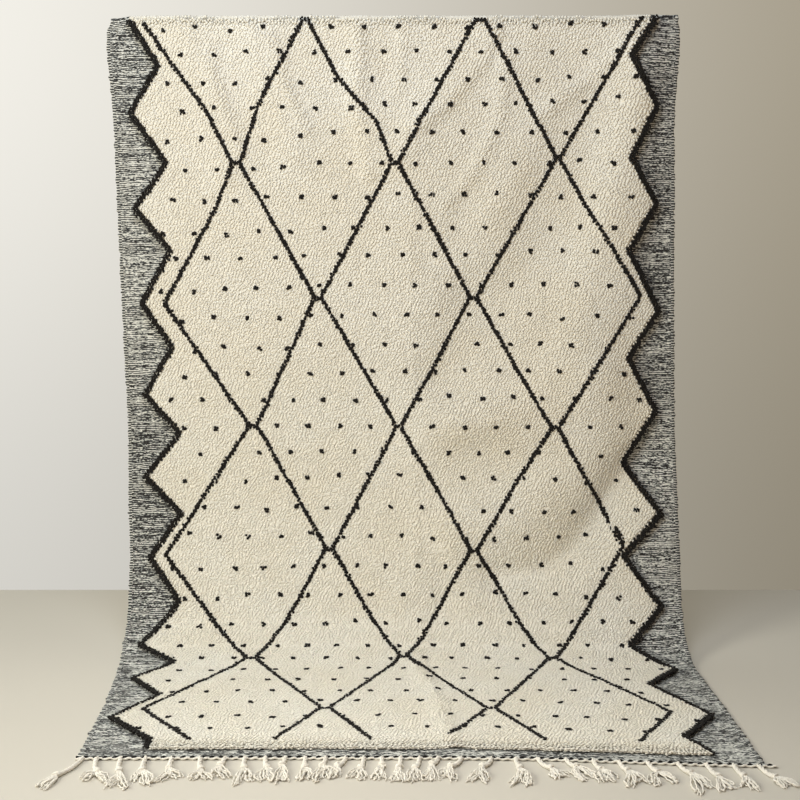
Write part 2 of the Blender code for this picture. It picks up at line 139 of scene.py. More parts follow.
# More of them, broad and fine, that only the cloth has. They do not die away.
CREASES = [
    Fold(6 * MM, 0.110, [(0.040, 0.30), (0.048, 0.90), (0.044, 1.60)]),
    Fold(0.8 * MM, 0.018, [(0.030, 0.40), (0.038, 0.76), (0.034, 1.02)]),
    Fold(2 * MM, 0.016, [(0.046, 1.18), (0.050, 1.56)]),
    Fold(-13 * MM, 0.085, [(0.575, 0.22), (0.490, 0.49), (0.375, 0.69), (0.250, 0.78)]),
    Fold(5 * MM, 0.045, [(0.440, 0.20), (0.316, 0.43), (0.205, 0.60), (0.120, 0.74)]),
    Fold(20 * MM, 0.085, [(0.665, 0.12), (0.638, 0.43), (0.600, 0.73), (0.535, 0.94), (0.415, 1.12),
                          (0.110, 1.12)]),
    Fold(6 * MM, 0.022, [(0.262, 0.04), (0.225, 0.12), (0.120, 0.24), (0.030, 0.30)]),
    Fold(5 * MM, 0.022, [(0.292, 0.10), (0.275, 0.27), (0.205, 0.42), (0.130, 0.50)]),
    Fold(5 * MM, 0.022, [(0.640, 0.06), (0.500, 0.18), (0.385, 0.26)]),
    Fold(5 * MM, 0.022, [(-0.110, 0.04), (-0.115, 0.24), (-0.085, 0.42)]),
    Fold(4 * MM, 0.020, [(0.010, 0.03), (0.000, 0.18)]),
    Fold(5 * MM, 0.022, [(-0.350, 0.06), (-0.310, 0.18), (-0.255, 0.30)]),
    Fold(5 * MM, 0.022, [(-0.520, 0.10), (-0.480, 0.24), (-0.440, 0.36)]),
    Fold(-3 * MM, 0.026, [(0.062, 0.58), (0.075, 0.66)]),
    Fold(-8 * MM, 0.070, [(0.190, 0.50), (0.170, 0.72), (0.150, 0.98)]),
    Fold(-10 * MM, 0.090, [(-0.750, 1.655), (0.100, 1.650)]),
    Fold(-7 * MM, 0.055, [(-0.750, 1.695), (0.400, 1.690)]),
    Fold(-4 * MM, 0.025, [(-0.750, 1.772), (-0.200, 1.762), (0.300, 1.768), (0.750, 1.775)]),
    Fold(-4 * MM, 0.030, [(0.110, 1.46), (0.120, 1.62)]),
    Fold(6 * MM, 0.022, [(0.047, 1.80), (0.100, 2.12), (0.130, 2.40)]),
]

# ---- the pile ----
KNOT_ACROSS = 9.0 * MM
KNOT_DOWN = 9.3 * MM
PILE_FROM = 4 * MM
PILE_TO = RUG_LENGTH - BAND_DEPTH
LAST_ROW = PILE_TO - 5 * MM
PILE_COURSES = 4           # the ivory pile is in this many pieces, one below another
ROOT_LIFT = 6.0 * MM       # the yarn ends start here, hidden in the slab of packed roots
BASE_LIFT = 14.15 * MM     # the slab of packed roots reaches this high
END_LENGTH = 8.5 * MM      # a yarn end, from its root to its tip
END_RADIUS = (4.2 * MM, 4.7 * MM)     # half its width across and down the rug
END_TOP = 1.08             # the height of its low round top, where its rim is at 1
IVORY_STRAY = (1.1 * MM, 1.2 * MM)    # how far an end usually strays across and down the rug
IVORY_LEAN = 0.30          # how far it leans down the rug, as a share of its length
BLACK_LONG = 1.16          # the length of a black end, where an ivory one is 1
BLACK_RADIUS = (3.4 * MM, 4.3 * MM)
BLACK_STRAY = 0.7 * MM
BLACK_LEAN = 0.36
ROW_WANDER = 1.6 * MM      # how far a row strays from its straight line
EDGE_THIN = 45 * MM        # the pile thins over this depth towards its lower edge
EDGE_LOSS = 0.45           # and loses this share of its height
SPLAYS = ((0.95, 0.6), (0.70, 1.4), (0.45, 3.0))      # share of END_LENGTH, and lean
UNEVEN = 0.15 * MM         # how far the corners of a cut end stand out or back
LEAST_RUN = 4 * MM         # a shorter run of ivory in a row is left out
FINE_STEP = 0.5 * MM       # the pattern is read in steps of this width
FINE_REACH = 0.84          # to this far on either side of the middle line

# ---- the pattern ----
# The crossings of the lattice, level by level. The lines meet at the ends of a short bar.
Crossing = namedtuple("Crossing", "across down bar")
LATTICE = [
    [Crossing(-0.694, 0.015, 0.000), Crossing(-0.258, 0.007, 0.018), Crossing(0.217, 0.004, 0.024),
     Crossing(0.653, 0.000, 0.000)],
    [Crossing(-0.452, 0.386, 0.020), Crossing(-0.014, 0.383, 0.016), Crossing(0.435, 0.371, 0.010)],
    [Crossing(-0.660, 0.771, 0.000), Crossing(-0.230, 0.754, 0.018), Crossing(0.204, 0.754, 0.018),
     Crossing(0.668, 0.751, 0.000)],
    [Crossing(-0.417, 1.117, 0.022), Crossing(-0.003, 1.120, 0.012), Crossing(0.437, 1.123, 0.018)],
    [Crossing(-0.663, 1.487, 0.000), Crossing(-0.201, 1.469, 0.018), Crossing(0.207, 1.469, 0.016),
     Crossing(0.632, 1.461, 0.000)],
    [Crossing(-0.403, 1.812, 0.026), Crossing(0.011, 1.804, 0.020), Crossing(0.411, 1.812, 0.022)],
    [Crossing(-0.626, 2.146, 0.000), Crossing(-0.183, 2.140, 0.020), Crossing(0.222, 2.140, 0.018),
     Crossing(0.655, 2.150, 0.000)],
]
# Lines that bend on their way between two crossings.
Bend = namedtuple("Bend", "level upper lower path")
BENDS = [
    Bend(0, 0, 0, [(-0.526, 0.251)]),
    Bend(0, 1, 0, [(-0.389, 0.232)]),
    Bend(0, 1, 1, [(-0.172, 0.150), (-0.066, 0.275)]),
    Bend(1, 0, 0, [(-0.507, 0.500), (-0.617, 0.698)]),
]
# Lines from the last crossings to their loose ends near the lower edge.
LineEnd = namedtuple("LineEnd", "crossing across down")
LINE_ENDS = table(LineEnd, (
    (0, -0.484, 2.321), (1, -0.289, 2.321), (1, -0.069, 2.315),
    (2, 0.113, 2.304), (2, 0.334, 2.322), (3, 0.548, 2.310),
))
LINE_HALF = 4.9 * MM
LINE_THIN = 4.2 * MM
OUTLINE_HALF = 7.0 * MM
OUTLINE_THIN = 4.0 * MM
THIN_FROM = 1.86
THICK_STROKES = [[(0.616, 1.420), (0.630, 1.455)]]
THICK_HALF = 8 * MM
GAP_CENTRE = (0.607, 1.404)   # one line stops short here
GAP_RADIUS = 12 * MM

# Rows of dots: where a row lies at the middle, its first dot, and how much lower it runs
# towards the left and the right edge.
DotRow = namedtuple("DotRow", "down first lower_left lower_right")
DOT_ROWS = table(DotRow, (
    (0.021, -0.645, 0.008, -0.008), (0.089, -0.601, 0.005, -0.001), (0.165, -0.633, 0.007, -0.019),
    (0.229, -0.592, 0.016, -0.019), (0.304, -0.641, 0.023, -0.004), (0.386, -0.588, 0.020, -0.005),
    (0.470, -0.635, 0.020, 0.006), (0.562, -0.665, 0.019, -0.005), (0.636, -0.622, 0.011, -0.009),
    (0.719, -0.671, 0.019, 0.000), (0.800, -0.610, 0.017, 0.008), (0.884, -0.668, 0.018, 0.007),
    (0.963, -0.611, 0.015, 0.003), (1.042, -0.654, 0.005, -0.002), (1.117, -0.611, 0.014, 0.006),
    (1.190, -0.659, 0.013, 0.014), (1.260, -0.612, 0.020, 0.014), (1.355, -0.640, 0.000, 0.009),
    (1.432, -0.600, -0.003, 0.004), (1.520, -0.645, 0.007, 0.004), (1.599, -0.600, 0.016, 0.011),
    (1.681, -0.640, 0.013, 0.002), (1.761, -0.599, 0.006, 0.004), (1.814, -0.625, 0.005, 0.010),
    (1.872, -0.590, 0.020, 0.012), (1.948, -0.600, 0.018, 0.012), (2.029, -0.580, 0.013, 0.004),
    (2.095, -0.620, 0.015, 0.014), (2.185, -0.560, 0.015, 0.012), (2.252, -0.609, 0.012, 0.012),
))
DOT_PITCH_TOP = 0.0920
DOT_PITCH_LOW = 0.0835
DOT_JITTER = 6 * MM
DOT_WIDE = (11 * MM, 14 * MM)
DOT_CLEAR = 0.012          # a dot stays this far inside the zigzag edges

# ---- fringe ----
EDGE_WIDTH = 8 * MM
KNOT_LENGTH = 13 * MM
Bunch = namedtuple("Bunch", "root knot_side knot_out left_side left_out right_side right_out")
BUNCHES = table(Bunch, (
    (-0.705, -0.038, 0.090, -0.028, 0.046, -0.010, 0.056),
    (-0.676, 0.020, 0.074, -0.030, 0.036, 0.026, 0.038),
    (-0.622, 0.012, 0.070, -0.012, 0.079, 0.030, 0.074),
    (-0.567, 0.006, 0.066, -0.014, 0.050, 0.026, 0.070),
    (-0.508, 0.004, 0.056, -0.022, 0.058, 0.028, 0.039),
    (-0.445, 0.012, 0.062, -0.018, 0.044, 0.026, 0.046),
    (-0.390, -0.005, 0.041, -0.006, 0.050, 0.020, 0.056),
    (-0.346, 0.006, 0.056, -0.008, 0.076, 0.020, 0.054),
    (-0.300, 0.010, 0.054, -0.008, 0.058, 0.016, 0.058),
    (-0.255, -0.005, 0.041, -0.006, 0.084, 0.016, 0.070),
    (-0.211, 0.003, 0.056, -0.010, 0.058, 0.014, 0.044),
    (-0.165, -0.006, 0.046, -0.012, 0.068, 0.008, 0.056),
    (-0.120, -0.020, 0.048, -0.014, 0.064, 0.008, 0.044),
    (-0.080, -0.006, 0.056, -0.026, 0.044, 0.000, 0.050),
    (-0.040, 0.001, 0.045, -0.018, 0.060, 0.004, 0.058),
    (0.002, -0.004, 0.054, -0.016, 0.060, 0.006, 0.062),
    (0.044, -0.012, 0.058, -0.014, 0.058, 0.006, 0.052),
    (0.086, -0.018, 0.036, -0.016, 0.074, 0.004, 0.076),
    (0.138, -0.030, 0.046, -0.022, 0.044, 0.002, 0.066),
    (0.205, -0.028, 0.046, -0.034, 0.066, 0.008, 0.072),
    (0.257, 0.006, 0.054, -0.026, 0.078, 0.010, 0.080),
    (0.306, 0.026, 0.050, 0.006, 0.050, 0.036, 0.034),
    (0.368, 0.021, 0.038, 0.008, 0.064, 0.038, 0.046),
    (0.428, 0.011, 0.050, -0.004, 0.056, 0.022, 0.046),
    (0.484, 0.012, 0.050, -0.010, 0.070, 0.028, 0.048),
    (0.547, 0.014, 0.052, -0.022, 0.060, 0.034, 0.046),
    (0.612, 0.020, 0.052, -0.006, 0.094, 0.026, 0.064),
    (0.674, 0.012, 0.062, -0.014, 0.072, 0.020, 0.050),
    (0.733, 0.008, 0.060, -0.016, 0.042, 0.012, 0.068),
    (0.787, 0.022, 0.062, 0.010, 0.044, 0.034, 0.034),
))

chance = np.random.default_rng(23)


# ---- tables and soft noise ----
def column(rows, name):
    return np.array([getattr(row, name) for row in rows])


def read(rows, key, value, at):
    """The straight-line value of one named column of a table."""
    return np.interp(at, column(rows, key), column(rows, value))


def ease(share):
    share = np.clip(share, 0.0, 1.0)
    return share * share * (3 - 2 * share)


def distance_to_path(across, down, path):
    nearest = np.full(np.shape(across), np.inf)
    for (from_across, from_down), (to_across, to_down) in zip(path, path[1:]):
        run_across, run_down = to_across - from_across, to_down - from_down
        along = (across - from_across) * run_across + (down - from_down) * run_down
        share = np.clip(along / (run_across ** 2 + run_down ** 2), 0.0, 1.0)
        gone = np.hypot(across - from_across - run_across * share, down - from_down - run_down * share)
        nearest = np.minimum(nearest, gone)
    return nearest


def soft_noise(across, down, size, seed, waves=7):
    """A smooth wandering value of about -1 to 1, whose lumps are roughly `size` apart."""
    rolls = np.random.default_rng(seed)
    total = np.zeros(np.shape(across))
    for _ in range(waves):
        turn, start = rolls.uniform(0, 2 * math.pi, 2)
        pull = rolls.uniform(0.6, 1.5) * 2 * math.pi / size
        total = total + np.sin((across * math.cos(turn) + down * math.sin(turn)) * pull + start)
    return total / math.sqrt(waves)


# ---- the hanging cloth ----
def height_of(folds, across, down):
    """How far these folds stand out of the cloth at these places, all together."""
    height = np.zeros(np.shape(across))
    for fold in folds:
        gone = distance_to_path(across, down, fold.path) / fold.half_width
        height = height + fold.height * np.exp(-gone ** 2)
    return height


class Cloth:
    """Turns places on the cloth into places in the room."""

    def __init__(self):
        first, last = LEANS[0].down, LEANS[-1].down
        count = int(round((last - first) / WALK_STEP))
        step = (last - first) / count
        self.downs = first + np.arange(count + 1) * step
        lean = np.radians(read(LEANS, "down", "degrees", self.downs[:-1] + step / 2))
        self.outs = np.concatenate(([0.0], np.cumsum(np.sin(lean)) * step))
        self.rises = np.concatenate(([0.0], -np.cumsum(np.cos(lean)) * step))
        self.outs -= np.interp(0.0, self.downs, self.outs)
        self.rises -= np.interp(FLOOR_FROM, self.downs, self.rises)
        self.shift_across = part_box("fringe")[1].x - EDGE_RIGHT
        self.shift_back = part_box("rug")[0].y + self.reach_of_edge()

    def reach_of_edge(self):
        right = read(OUTLINE, "down", "right", RUG_LENGTH)
        extra = read(LOWER_EDGE, "across", "extra", right)
        return np.interp(RUG_LENGTH + extra, self.downs, self.outs)

    def place(self, across, down, lift):
        """The points at these places, as rows of x, y and z."""
        across, down, lift = np.broadcast_arrays(across, down, lift)
        extra = read(LOWER_EDGE, "across", "extra", across)
        down_here = down + extra * ease((down - SKEW_FROM) / (RUG_LENGTH - SKEW_FROM))
        lean = np.radians(read(LEANS, "down", "degrees", down_here))
        lift = lift + height_of(CREASES, across, down)
        out = np.interp(down_here, self.downs, self.outs) + self.fold(across, down) + lift * np.cos(lean)
        rise = np.interp(down_here, self.downs, self.rises) + lift * np.sin(lean)
        rise = rise - self.droop(across, down)
        return np.stack((across + self.shift_across, self.shift_back - out, rise), axis=-1)

    def fold(self, across, down):
        along = np.maximum(np.maximum(-FOLD_ARC - down, down), 0.0)
        fade = 1 - ease((along - FOLDS_FADE[0]) / (FOLDS_FADE[1] - FOLDS_FADE[0]))
        return height_of(FOLDS, across, along) * fade

    def droop(self, across, down):
        from_side = 1 - (across + read(OUTLINE, "down", "left", down)) / CORNER_SPAN
        return CORNER_DROOP * ease(from_side) * (1 - ease(np.abs(down) / CORNER_SPAN))

    def directions(self, across, down, lift):
        """Unit vectors across, down and out of the cloth at these places."""
        small = 2 * MM
        side = self.place(across + small, down, lift) - self.place(across - small, down, lift)
        along = self.place(across, down + small, lift) - self.place(across, down - small, lift)
        side /= np.linalg.norm(side, axis=-1, keepdims=True)
        along /= np.linalg.norm(along, axis=-1, keepdims=True)
        out = np.cross(along, side)
        out /= np.linalg.norm(out, axis=-1, keepdims=True)
        return side, along, out


cloth = Cloth()


# ---- finishes ----
class Link:
    """The socket that a node gives its value from. Sums of links add Math nodes."""

    def __init__(self, board, socket):
        self.board = board
        self.socket = socket

    def __add__(self, other):
        return self.board.math("ADD", self, other)

    def __sub__(self, other):
        return self.board.math("SUBTRACT", self, other)

    def __rsub__(self, other):
        return self.board.math("SUBTRACT", other, self)

    def __mul__(self, other):
        return self.board.math("MULTIPLY", self, other)

    def __truediv__(self, other):
        return self.board.math("DIVIDE", self, other)

    def __gt__(self, other):
        return self.board.math("GREATER_THAN", self, other)

    def __lt__(self, other):
        return self.board.math("LESS_THAN", self, other)

    __radd__ = __add__
    __rmul__ = __mul__


class Board:
    """The nodes of a material or a world."""

    def __init__(self, owner):
        owner.use_nodes = True
        self.nodes = owner.node_tree.nodes
        self.links = owner.node_tree.links

    def node(self, kind, values=None, out=0, stops=(), **settings):
        """Adds a node, sets its settings and stops, then its sockets' values or links."""
        added = self.nodes.new("ShaderNode" + kind)
        for name, value in settings.items():
            setattr(added, name, value)
        for _ in stops[2:]:
            added.color_ramp.elements.new(0.5)
        for number, (position, colour) in enumerate(stops):
            added.color_ramp.elements[number].position = position
            added.color_ramp.elements[number].color = (*colour, 1.0)
        for name, value in (values or {}).items():
            self.feed(added.inputs[name], value)
        return Link(self, added.outputs[out])

    def feed(self, socket, value):
        if isinstance(value, Link):
            self.links.new(value.socket, socket)
        else:
            socket.default_value = value

    def math(self, operation, *values):
        return self.node("Math", dict(enumerate(values)), operation=operation)

    def place(self):
        return self.node("TexCoord", out="Object")

    def attribute(self, name, out="Fac"):
        return self.node("Attribute", out=out, attribute_name=name)

    def noise(self, where, scale, detail=2.0, out="Fac"):
        return self.node("TexNoise", {"Vector": where, "Scale": scale, "Detail": detail}, out=out)

    def stretch(self, where, scale):
        return self.node("Mapping", {"Vector": where, "Scale": scale})

    def ramp(self, value, *stops):
        """A colour ramp through (position, colour) stops."""
        return self.node("ValToRGB", {"Fac": value}, stops=stops)

    def spread(self, value, low, high):
        """The value's range low to high, stretched over 0 to 1."""
        return self.node("MapRange", {"Value": value, "From Min": low, "From Max": high})

    def mix(self, share, first, second):
        first, second = ((*value, 1.0) if isinstance(value, tuple) else value for value in (first, second))
        return self.node("Mix", {0: share, 6: first, 7: second}, out=2, data_type="RGBA")


class Finish(Board):
    """A material: one Principled shader, and the nodes that feed it."""

    def __init__(self, name, roughness, sheen=0.0):
        self.material = bpy.data.materials.new(name)
        super().__init__(self.material)
        self.shader = self.nodes["Principled BSDF"]
        for socket, value in (("Roughness", roughness), ("Specular IOR Level", 0.15),
                              ("Sheen Weight", sheen), ("Sheen Roughness", 0.6)):
            self.shader.inputs[socket].default_value = value

    def colour(self, value):
        self.feed(self.shader.inputs["Base Color"], value)

    def bump(self, height, distance, strength=1.0):
        values = {"Height": height, "Distance": distance, "Strength": strength}
        self.feed(self.shader.inputs["Normal"], self.node("Bump", values))


IVORY_LIGHT = (0.860, 0.842, 0.760)
IVORY_WARM = (0.838, 0.802, 0.692)
IVORY_GREY = (0.680, 0.645, 0.550)
BLACK_WOOL = (0.009, 0.008, 0.007)
# The lighter black below is a painted highlight, for fibres that catch the light.
BLACK_HIGHLIGHT = (0.030, 0.027, 0.024)


def ivory_wool():
    finish = Finish("ivory wool", roughness=0.92, sheen=0.25)
    where = finish.place()
    patches = finish.spread(finish.noise(where, 5.0, 3.0), 0.35, 0.65)
    colour = finish.mix(patches, IVORY_LIGHT, IVORY_WARM)
    tint = finish.attribute("tint")
    colour = finish.mix(finish.spread(tint, 0.4, 1.0) * 0.3, colour, IVORY_GREY)
    fibres = finish.noise(where, 420.0, 3.0)
    colour = finish.mix(finish.spread(fibres, 0.5, 0.8) * 0.5, colour, IVORY_WARM)
    # Grey specks about 4 mm apart are painted shade, for the small shadows between yarn ends. The same noise
    # also makes a real bump.
    specks = finish.noise(where, 260.0, 4.0)
    colour = finish.mix(finish.spread(specks, 0.50, 0.72) * 0.55, colour, IVORY_GREY)
    finish.colour(colour)
    finish.bump(specks, 1.2 * MM, 0.3)
    return finish.material


def black_wool():
    finish = Finish("black wool", roughness=0.9, sheen=0.05)
    where = finish.place()
    fibres = finish.noise(where, 500.0, 3.0)
    # Fibres of painted highlight are mixed into the black at random.
    finish.colour(finish.mix(finish.spread(fibres, 0.45, 0.8), BLACK_WOOL, BLACK_HIGHLIGHT))
    finish.bump(finish.noise(where, 900.0, 2.0), 0.8 * MM, 0.6)
    return finish.material


PICK = 2.75 * MM           # one weft of the borders
WEFT_BLACK = (0.022, 0.021, 0.021)
WEFT_IVORY = (0.77, 0.780, 0.725)
WEFT_GREY = (0.158, 0.171, 0.172)
SELVEDGE_WIDTH = 9 * MM
SELVEDGE_PITCH = 7.4 * MM
PICK_DRIFT = 18 * MM       # how far the wefts wander up and down
BORDER_DARK = 0.585        # how dark the wefts are in the middle case: ivory is 0.12, black 0.80


def flat_weave():
    """Heathered wefts in the borders and bands, and rows of ivory nodes behind the pile."""
    finish = Finish("flat weave", roughness=0.9, sheen=0.1)
    place = finish.attribute("cloth", out="Vector")
    drift = finish.noise(finish.stretch(place, (9.0, 9.0, 0.0)), 1.0, 2.0)
    parts = finish.node("SeparateXYZ", {"Vector": place}, out="Y") + (drift - 0.5) * PICK_DRIFT
    pick = finish.math("FLOOR", parts / PICK)
    parity = finish.math("MODULO", pick, 2.0)
    yarn = finish.node("TexWhiteNoise", {"W": pick}, noise_dimensions="1D", out="Value")
    beads = finish.noise(finish.stretch(place, (52.0, 0.9 / PICK, 0.0)), 1.0, 1.0)
    flecks = finish.noise(finish.stretch(place, (150.0, 360.0, 0.0)), 1.0, 2.0)
    lines = finish.noise(finish.stretch(place, (9.0, 0.5 / PICK, 0.0)), 1.0, 1.0)
    mood = finish.noise(finish.stretch(place, (7.0, 26.0, 0.0)), 1.0, 2.0)
    contrast = finish.spread(mood, 0.38, 0.60)
    dark = (parity - 0.5) * 0.75 * contrast + (yarn - 0.5) * 0.40 * contrast
    dark = dark + (beads - 0.5) * 2.7 + (flecks - 0.5) * 2.9 + finish.attribute("tone") + BORDER_DARK
    dark = dark + (lines - 0.5) * 1.6
    weft = finish.ramp(dark, (0.12, WEFT_IVORY), (0.48, WEFT_GREY), (0.80, WEFT_BLACK))
    turns = finish.math("FRACT", parts / SELVEDGE_PITCH) + (flecks - 0.5) * 0.8
    turn = finish.ramp(turns, (0.30, WEFT_BLACK), (0.62, WEFT_GREY), (0.80, WEFT_IVORY))
    from_edge = finish.node("SeparateXYZ", {"Vector": place}, out="Z")
    weft = finish.mix(from_edge < SELVEDGE_WIDTH, weft, turn)
    nodes = finish.noise(finish.stretch(place, (240.0, 240.0, 0.0)), 1.0, 2.0)
    backs = finish.mix(finish.spread(nodes, 0.35, 0.7), IVORY_LIGHT, IVORY_GREY)
    field = finish.attribute("field")
    finish.colour(finish.mix(field > 0.5, weft, backs))
    finish.bump(flecks, 0.8 * MM, 0.5)
    return finish.material


COTTON = (0.90, 0.87, 0.79)
COTTON_DEEP = (0.74, 0.69, 0.59)


def warp_cotton():
    finish = Finish("warp cotton", roughness=0.85, sheen=0.1)
    where = finish.place()
    fibres = finish.noise(where, 300.0, 3.0)
    finish.colour(finish.mix(finish.spread(fibres, 0.45, 0.8), COTTON, COTTON_DEEP))
    finish.bump(finish.noise(where, 1100.0, 2.0), 0.6 * MM, 0.6)
    return finish.material


def plain_floor():
    finish = Finish("pale floor", roughness=0.6)
    where = finish.place()
    finish.colour(finish.mix(finish.noise(where, 1.2, 2.0), (0.630, 0.600, 0.530), (0.655, 0.625, 0.552)))
    return finish.material


# ---- meshes ----
def new_piece(name, points, faces, material):
    mesh = bpy.data.meshes.new(name)
    mesh.from_pydata(points, [], faces, shade_flat=False)
    mesh.materials.append(material)
    piece = bpy.data.objects.new(name, mesh)
    bpy.context.scene.collection.objects.link(piece)
    return piece


def points_of(piece):
    points = np.empty(len(piece.data.vertices) * 3)
    piece.data.vertices.foreach_get("co", points)
    return points.reshape(-1, 3)


def set_points(piece, points):
    piece.data.vertices.foreach_set("co", np.asarray(points, float).ravel())
    piece.data.update()


def set_value(piece, name, values):
    piece.data.attributes.new(name, "FLOAT", "POINT").data.foreach_set("value", np.asarray(values, float))


def bake_map(piece, across, down):
    """The map that the finishes are baked on: the piece's own stretch of cloth, laid flat."""
    corners = np.empty(len(piece.data.loops), int)
    piece.data.loops.foreach_get("vertex_index", corners)
    flat = np.stack([(line - line.min()) / np.ptp(line) for line in (across, down)], axis=-1)
    layer = piece.data.uv_layers.new(name="OFBake")
    layer.uv.foreach_set("vector", flat[corners].ravel())


def add_to_rug(piece):
    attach(piece, BODY)
    return piece


# ---- pattern ----
def pile_sides(down):
    """The left and the right zigzag edge, as distances across."""
    return -read(LEFT_ZIGZAG, "down", "out", down), read(RIGHT_ZIGZAG, "down", "out", down)


def lattice_paths():
    """The lines of the lattice, as paths of (across, down)."""
    bent = {(bend.level, bend.upper, bend.lower): bend.path for bend in BENDS}
    paths = []
    for level, (uppers, lowers) in enumerate(zip(LATTICE, LATTICE[1:])):
        for number, upper in enumerate(uppers):
            partners = (number - 1, number) if len(uppers) > len(lowers) else (number, number + 1)
            for partner in partners:
                if 0 <= partner < len(lowers):
                    lower = lowers[partner]
                    side = 1 if lower.across > upper.across else -1
                    start = (upper.across + side * upper.bar / 2, upper.down)
                    end = (lower.across - side * lower.bar / 2, lower.down)
                    paths.append([start, *bent.get((level, number, partner), []), end])
    for end in LINE_ENDS:
        crossing = LATTICE[-1][end.crossing]
        side = 1 if end.across > crossing.across else -1
        paths.append([(crossing.across + side * crossing.bar / 2, crossing.down), (end.across, end.down)])
    return paths


def zigzag_path(corners, side):
    return [(side * corner.out, corner.down) for corner in corners]


def dot_places():
    """The middles of the dots, as across and down."""
    places = []
    for row in DOT_ROWS:
        share = row.down / RUG_LENGTH
        pitch = DOT_PITCH_TOP * (1 - share) + DOT_PITCH_LOW * share
        left, right = pile_sides(row.down)
        across = row.first
        while across < right:
            middle = across + chance.uniform(-DOT_JITTER, DOT_JITTER)
            lower = row.lower_left if middle < 0 else row.lower_right
            down = row.down + lower * min(abs(middle) / 0.6, 1.0) ** 1.5 + chance.uniform(-1, 1) * 3 * MM
            if left + DOT_CLEAR < middle < right - DOT_CLEAR:
                places.append((middle, down))
            across += pitch
    return np.array(places)


def outline_half(corners, down):
    """Half the width of a zigzag's black edge. On the floor, its outward runs are thinner."""
    out_below, out_above = (read(corners, "down", "out", down + step) for step in (5 * MM, -5 * MM))
    outward = out_below > out_above
    return np.where(outward & (down > THIN_FROM), OUTLINE_THIN, OUTLINE_HALF)


def black_places(across, down):
    """Where the pattern is black, its dots aside."""
    half = np.where(down > THIN_FROM, LINE_THIN, LINE_HALF) * (1 + 0.10 * soft_noise(across, down, 0.05, 9))
    black = np.zeros(across.shape, bool)
    for path in lattice_paths():
        black |= distance_to_path(across, down, path) < half
    black &= np.hypot(across - GAP_CENTRE[0], down - GAP_CENTRE[1]) > GAP_RADIUS
    for path in THICK_STROKES:
        black |= distance_to_path(across, down, path) < THICK_HALF
    return black


def knot_places():
    """Across, down and width of each knot, and which knots are black.

    A row is filled run by run: its black runs lie where the pattern has them, and ivory knots
    share out the rest evenly.
    """
    count = int(round((LAST_ROW - PILE_FROM) / KNOT_DOWN)) + 1
    rows = np.linspace(PILE_FROM, LAST_ROW, count)
    across, row = np.meshgrid(np.arange(-FINE_REACH, FINE_REACH, FINE_STEP), rows)
    down = row + ROW_WANDER * soft_noise(across, row, 0.30, 4)
    left_edge = distance_to_path(across, down, zigzag_path(LEFT_ZIGZAG, -1))
    right_edge = distance_to_path(across, down, zigzag_path(RIGHT_ZIGZAG, 1))
    outline = left_edge < outline_half(LEFT_ZIGZAG, down)
    outline |= right_edge < outline_half(RIGHT_ZIGZAG, down)
    left, right = pile_sides(down)
    within = (across > left) & (across < right)
    kinds = (within | outline).astype(int) + (outline | within & black_places(across, down))
    bars = [(crossing.across, crossing.down, crossing.bar / 2 + LINE_HALF)
            for level in LATTICE for crossing in level]
    dots = [(*place, chance.uniform(*DOT_WIDE) / 2) for place in dot_places()]
    for middle, height, half in bars + dots:
        number = np.argmin(np.abs(rows - height))
        kinds[number, (np.abs(across[number] - middle) < half) & within[number]] = 2
    knots = []
    for number, kind in enumerate(kinds):
        marks = np.flatnonzero(np.diff(kind, prepend=0, append=0))
        for start, end in zip(marks, marks[1:]):
            length = (end - start) * FINE_STEP
            black = kind[start] == 2
            if kind[start] > 0 and (black or length > LEAST_RUN):
                parts = max(1, round(length / KNOT_ACROSS))
                shift = 0.5 if black else chance.uniform(0.3, 0.7)
                for part in range(parts):
                    place = across[number, start] + length * (part + shift) / parts
                    height = np.interp(place, across[number], down[number])
                    knots.append((place, height, length / parts, black))
    return np.array(knots)


# ---- pile ----
def yarn_end(sides):
    """One cut end of yarn, one unit long and wide: thin at its root, with a low round top."""
    bpy.ops.mesh.primitive_cone_add(vertices=sides, radius1=0, radius2=1, depth=1.0, location=(0, 0, 0.5))
    end = bpy.context.object
    end.data.transform(end.matrix_world)
    bm = bmesh.new()
    bm.from_mesh(end.data)
    top = [face for face in bm.faces if face.normal.z > 0.9]
    for peak in bmesh.ops.poke(bm, faces=top)["verts"]:
        peak.co.z = END_TOP
    bmesh.ops.triangulate(bm, faces=bm.faces)
    bm.to_mesh(end.data)
    bm.free()
    points = points_of(end)
    faces = np.array([tuple(face.vertices) for face in end.data.polygons])
    bpy.data.objects.remove(end)
    return points, faces


def plant_ends(name, across, down, length, radius_across, radius_down, lean, sides, material):
    """Yarn ends at these places, leaning down the rug, as one joined mesh."""
    shape, faces = yarn_end(sides)
    count = len(across)
    side, along, out = cloth.directions(across, down, ROOT_LIFT)
    roots = cloth.place(across, down, ROOT_LIFT)
    turn = chance.uniform(0, 2 * math.pi, count)
    flat_across = shape[:, 0] * np.cos(turn)[:, None] - shape[:, 1] * np.sin(turn)[:, None]
    flat_down = shape[:, 0] * np.sin(turn)[:, None] + shape[:, 1] * np.cos(turn)[:, None]
    flat_across *= radius_across[:, None]
    flat_down *= radius_down[:, None]
    height = shape[:, 2] * (length[:, None] + chance.normal(0, UNEVEN, (count, len(shape))))
    bent = shape[:, 2] * length[:, None]
    points = (roots[:, None] + side[:, None] * (flat_across + bent * lean[0][:, None])[..., None]
              + along[:, None] * (flat_down + bent * lean[1][:, None])[..., None]
              + out[:, None] * height[..., None])
    all_faces = faces[None] + (np.arange(count) * len(shape))[:, None, None]
    piece = new_piece(name, points.reshape(-1, 3), all_faces.reshape(-1, 3), material)
    round_top = np.tile(shape[faces][:, :, 2].min(axis=1) > 0.9, count)
    piece.data.polygons.foreach_set("use_smooth", round_top)
    bake_map(piece, (across[:, None] + flat_across).ravel(), (down[:, None] + flat_down).ravel())
    set_value(piece, "tint", np.repeat(chance.random(count), len(shape)))
    return piece


